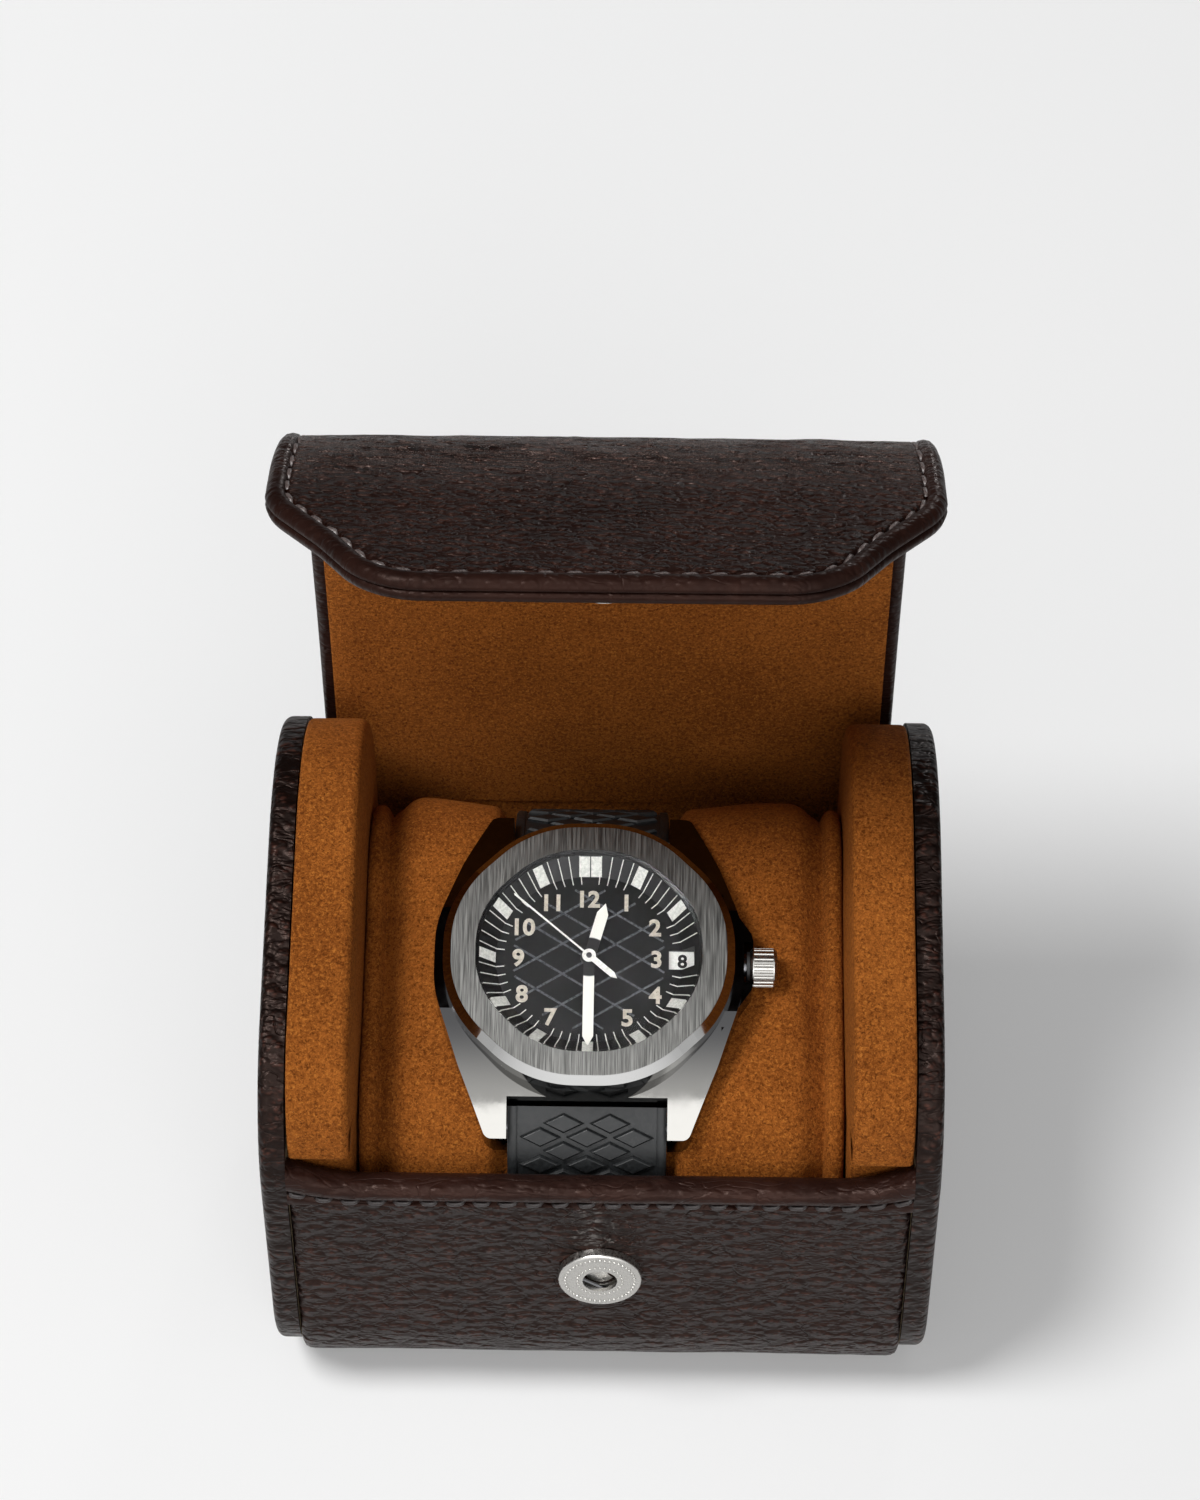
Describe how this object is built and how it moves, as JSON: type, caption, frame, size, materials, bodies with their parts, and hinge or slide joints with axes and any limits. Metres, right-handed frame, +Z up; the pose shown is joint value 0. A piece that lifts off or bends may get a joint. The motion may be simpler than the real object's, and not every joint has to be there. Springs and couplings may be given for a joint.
{
  "type": "single-watch leather display case with a wristwatch",
  "caption": "Open leather watch box with a folding snap-down lid, suede lining and a lift-out cushion carrying a wristwatch on its strap.",
  "frame": {"origin": "on the underside, midway across the case's width and depth", "axes": "+X to the right end panel, +Y to the hinge side, +Z up"},
  "size_m": [0.09, 0.0764, 0.1377],
  "materials": {
    "leather": "pebbled, semi-matt, espresso brown",
    "suede": "napped, matt, cognac tan",
    "board": "grey-brown fibreboard, raw",
    "nickel": "polished nickel plate",
    "spring_steel": "bright drawn wire",
    "foam": "open-cell foam, off-white",
    "strap_rubber": "matt black, moulded",
    "watch_steel": "brushed faces, polished bevels",
    "crystal": "flat polished, coated",
    "dial_black": "matt black",
    "movement_brass": "satin",
    "hand_white": "white fill with bright edges",
    "date_white": "matt white",
    "seal_rubber": "matt black"
  },
  "bodies": {
    "case": {"outer_wrap": "leather", "shell_board": "board", "case_lining": "suede", "rim_hem": "leather", "end_cover_left": "leather", "end_board_left": "board", "end_cover_right": "leather", "end_board_right": "board", "side_pad_left": "suede", "side_pad_right": "suede", "snap_socket": "nickel", "snap_spring": "spring_steel", "snap_rivet": "nickel"},
    "hinge_band": {"spine_strip": "board", "hinge_leather": "leather", "hinge_lining": "suede"},
    "lid": {"lid_leather": "leather", "lid_board": "board", "lid_lining": "suede"},
    "top_bend": {"bend_leather": "leather", "bend_lining": "suede", "bend_strip": "board"},
    "flap": {"flap_leather": "leather", "flap_board": "board", "flap_facing": "leather", "snap_stud": "nickel", "stud_cap": "nickel"},
    "cushion": {"cushion_foam": "foam", "cushion_cover": "suede", "cushion_cap_left": "suede", "cushion_cap_right": "suede", "strap_upper": "strap_rubber", "strap_lower": "strap_rubber", "spring_bar_upper": "spring_steel", "spring_bar_lower": "spring_steel", "clasp_cover": "watch_steel", "clasp_pins": "spring_steel", "watch_middle": "watch_steel", "watch_back": "watch_steel", "bezel": "watch_steel", "glass": "crystal", "chapter_ring": "dial_black", "dial": "dial_black", "movement": "movement_brass", "hand_arbor": "spring_steel", "knob_tube": "spring_steel"},
    "knob_shuttle": {"knob_gasket": "seal_rubber"},
    "knob": {"winding_knob": "watch_steel"},
    "hour_hand": {"hour_hand": "hand_white"},
    "minute_hand": {"minute_hand": "hand_white"},
    "seconds_hand": {"seconds_hand": "hand_white"},
    "date_ring": {"date_ring": "date_white"}
  },
  "joints": [
    {"name": "lid_fold_low", "type": "hinge", "parent": "case", "child": "hinge_band", "pos_m": [0, 0.0296, 0.0565], "axis": [-1, 0, 0], "range_deg": [-51.11, 25], "deforming": ["hinge_leather", "hinge_lining", "bend_leather", "bend_lining", "side_pad_left", "side_pad_right"]},
    {"name": "lid_fold_high", "type": "hinge", "parent": "hinge_band", "child": "lid", "pos_m": [0, 0.02821, 0.08306], "axis": [-1, 0, 0], "range_deg": [-51.2, 25.1]},
    {"name": "top_bend", "type": "hinge", "parent": "lid", "child": "top_bend", "pos_m": [0, 0.02825, 0.12188], "axis": [-1, 0, 0], "range_deg": [-14.6, 29.7]},
    {"name": "flap_crease", "type": "hinge", "parent": "top_bend", "child": "flap", "pos_m": [0, 0.01255, 0.1284], "axis": [-1, 0, 0], "range_deg": [-33.97, 15]},
    {"name": "cushion_lift", "type": "slide", "parent": "case", "child": "cushion", "axis": [0, 0, 1], "range_m": [0, 0.045]},
    {"name": "knob_pull", "type": "slide", "parent": "cushion", "child": "knob_shuttle", "axis": [1, 0, 0], "range_m": [0, 0.0012]},
    {"name": "knob_turn", "type": "hinge", "parent": "knob_shuttle", "child": "knob", "pos_m": [-0.0019, -0.00899, 0.06148], "axis": [1, 0, 0], "continuous": true},
    {"name": "minute_turn", "type": "hinge", "parent": "cushion", "child": "minute_hand", "pos_m": [-0.0019, -0.01051, 0.06677], "axis": [0, 0.2756, -0.9613], "continuous": true},
    {"name": "hour_turn", "type": "hinge", "parent": "cushion", "child": "hour_hand", "pos_m": [-0.0019, -0.01051, 0.06677], "axis": [0, 0.2756, -0.9613], "continuous": true},
    {"name": "seconds_turn", "type": "hinge", "parent": "cushion", "child": "seconds_hand", "pos_m": [-0.0019, -0.01051, 0.06677], "axis": [0, 0.2756, -0.9613], "continuous": true},
    {"name": "date_turn", "type": "hinge", "parent": "cushion", "child": "date_ring", "pos_m": [-0.0019, -0.01051, 0.06677], "axis": [0, 0.2756, -0.9613], "continuous": true}
  ],
  "couplings": [
    {"joint": "lid_fold_high", "follows": "lid_fold_low", "ratio": 1},
    {"joint": "top_bend", "follows": "lid_fold_low", "ratio": -0.5791},
    {"joint": "hour_turn", "follows": "minute_turn", "ratio": 0.083333}
  ]
}
